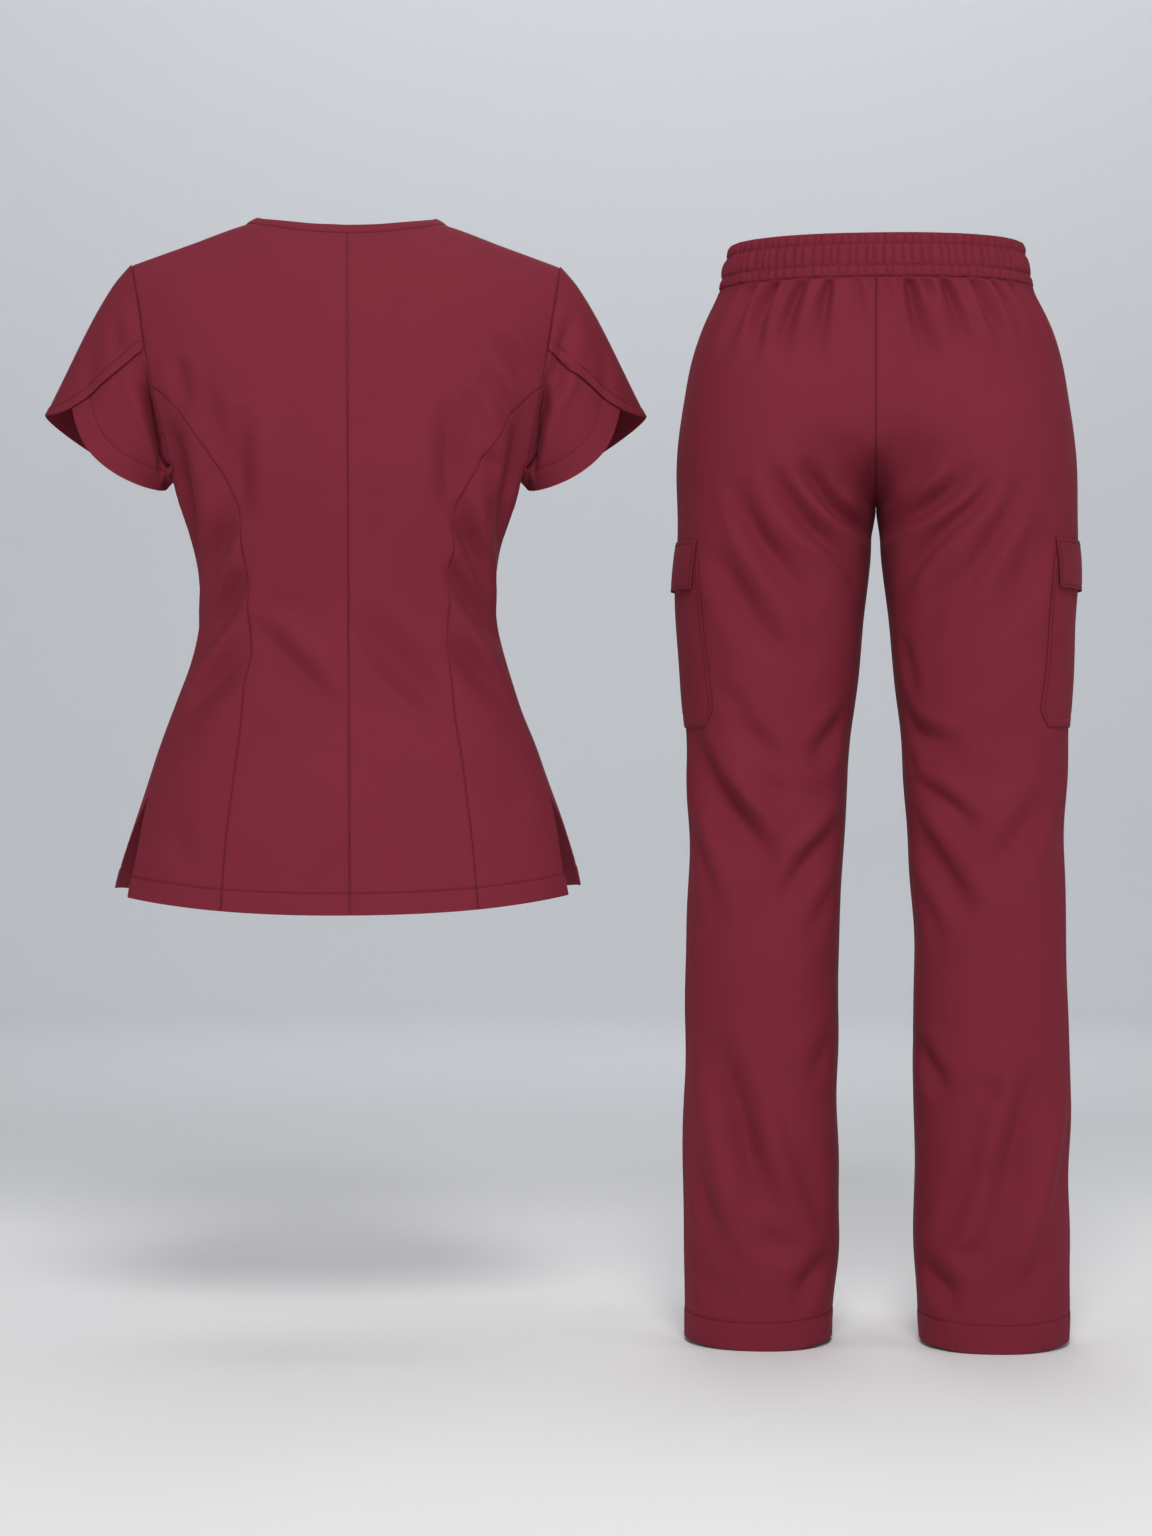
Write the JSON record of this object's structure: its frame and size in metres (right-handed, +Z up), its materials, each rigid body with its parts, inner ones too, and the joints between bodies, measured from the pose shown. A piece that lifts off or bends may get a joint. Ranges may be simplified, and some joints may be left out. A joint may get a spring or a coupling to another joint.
{
  "type": "medical scrubs set of top and cargo trousers",
  "caption": "Worn-shape scrubs set: a fitted V-neck top with petal sleeves, princess seams and side vents, beside straight cargo trousers with an elastic waist.",
  "frame": {"origin": "middle of the top between its two neck points, where the wearer's shoulders hold it", "axes": "+X to the right as the set is seen from its back, so towards the trousers; -Y towards the viewer of its back; +Z up. The top leans -0.25 degrees about Y and is turned 3.7 degrees about Z, and the trousers are turned -4.9 degrees"},
  "size_m": [0.9654, 0.2602, 1.047],
  "materials": {
    "top_cloth": "matt burgundy stretch twill",
    "trousers_cloth": "matt burgundy stretch twill"
  },
  "bodies": {
    "root": {"top_back_left": "top_cloth", "top_back_right": "top_cloth", "top_side_back_left": "top_cloth", "top_side_back_right": "top_cloth", "top_front": "top_cloth", "neckband": "top_cloth", "sleeve_left_back_petal": "top_cloth", "sleeve_left_front_petal": "top_cloth", "sleeve_right_back_petal": "top_cloth", "sleeve_right_front_petal": "top_cloth", "trouser_back_left": "trousers_cloth", "trouser_back_right": "trousers_cloth", "trouser_front_left": "trousers_cloth", "trouser_front_right": "trousers_cloth", "waistband": "trousers_cloth", "pocket_left": "trousers_cloth", "pocket_right": "trousers_cloth", "pocket_flap_left": "trousers_cloth", "pocket_flap_right": "trousers_cloth"}
  },
  "joints": []
}
